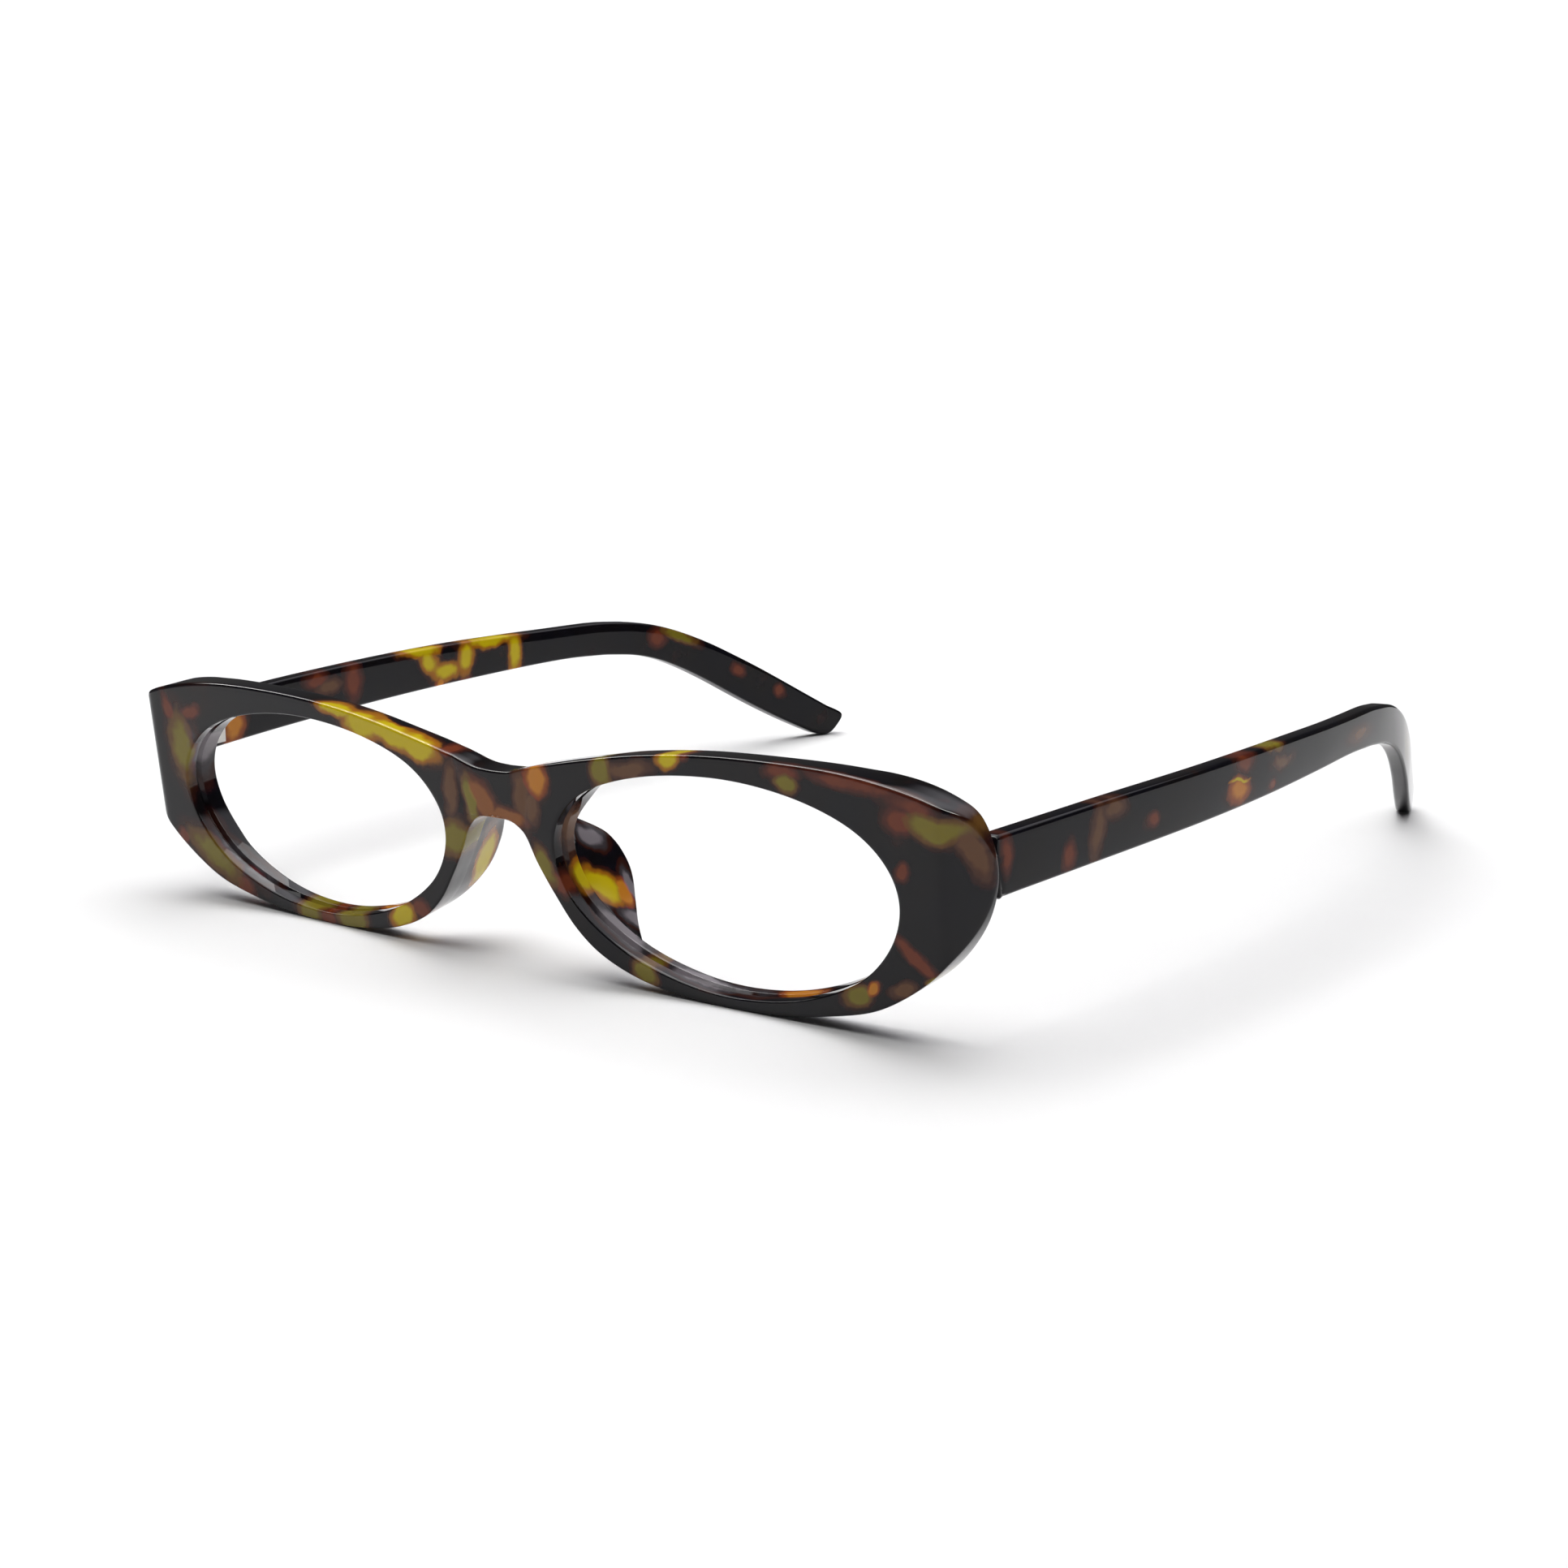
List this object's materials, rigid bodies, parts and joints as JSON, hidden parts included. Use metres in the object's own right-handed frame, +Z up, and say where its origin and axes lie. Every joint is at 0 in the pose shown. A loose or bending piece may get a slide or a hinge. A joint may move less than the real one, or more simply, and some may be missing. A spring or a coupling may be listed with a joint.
{
  "type": "eyeglasses frame",
  "caption": "Narrow oval tortoiseshell eyeglasses frame with empty lens openings, moulded nose pads and two folding temples with curved ends.",
  "frame": {"origin": "on the table, at the middle of the box round the open frame", "axes": "+X towards the right as seen from the front, the front faces -Y and the temples run back along +Y, +Z up"},
  "size_m": [0.1408, 0.1523, 0.0302],
  "materials": {
    "acetate": "polished tortoiseshell acetate",
    "core_wire": "drawn wire",
    "hinge_metal": "plated nickel silver",
    "screw_steel": "turned"
  },
  "bodies": {
    "front": {"front_frame": "acetate", "left_nose_pad": "acetate", "right_nose_pad": "acetate", "left_front_leaf": "hinge_metal", "right_front_leaf": "hinge_metal", "left_hinge_screw": "screw_steel", "right_hinge_screw": "screw_steel"},
    "left_arm": {"left_temple": "acetate", "left_temple_core": "core_wire", "left_temple_leaf": "hinge_metal"},
    "right_arm": {"right_temple": "acetate", "right_temple_core": "core_wire", "right_temple_leaf": "hinge_metal"}
  },
  "joints": [
    {"name": "left_temple_fold", "type": "hinge", "parent": "front", "child": "left_arm", "pos_m": [-0.0613, -0.06692, 0.0207], "axis": [0, 0.1219, -0.9925], "range_deg": [0, 90]},
    {"name": "right_temple_fold", "type": "hinge", "parent": "front", "child": "right_arm", "pos_m": [0.0613, -0.06692, 0.0207], "axis": [0, -0.1219, 0.9925], "range_deg": [0, 84]}
  ]
}
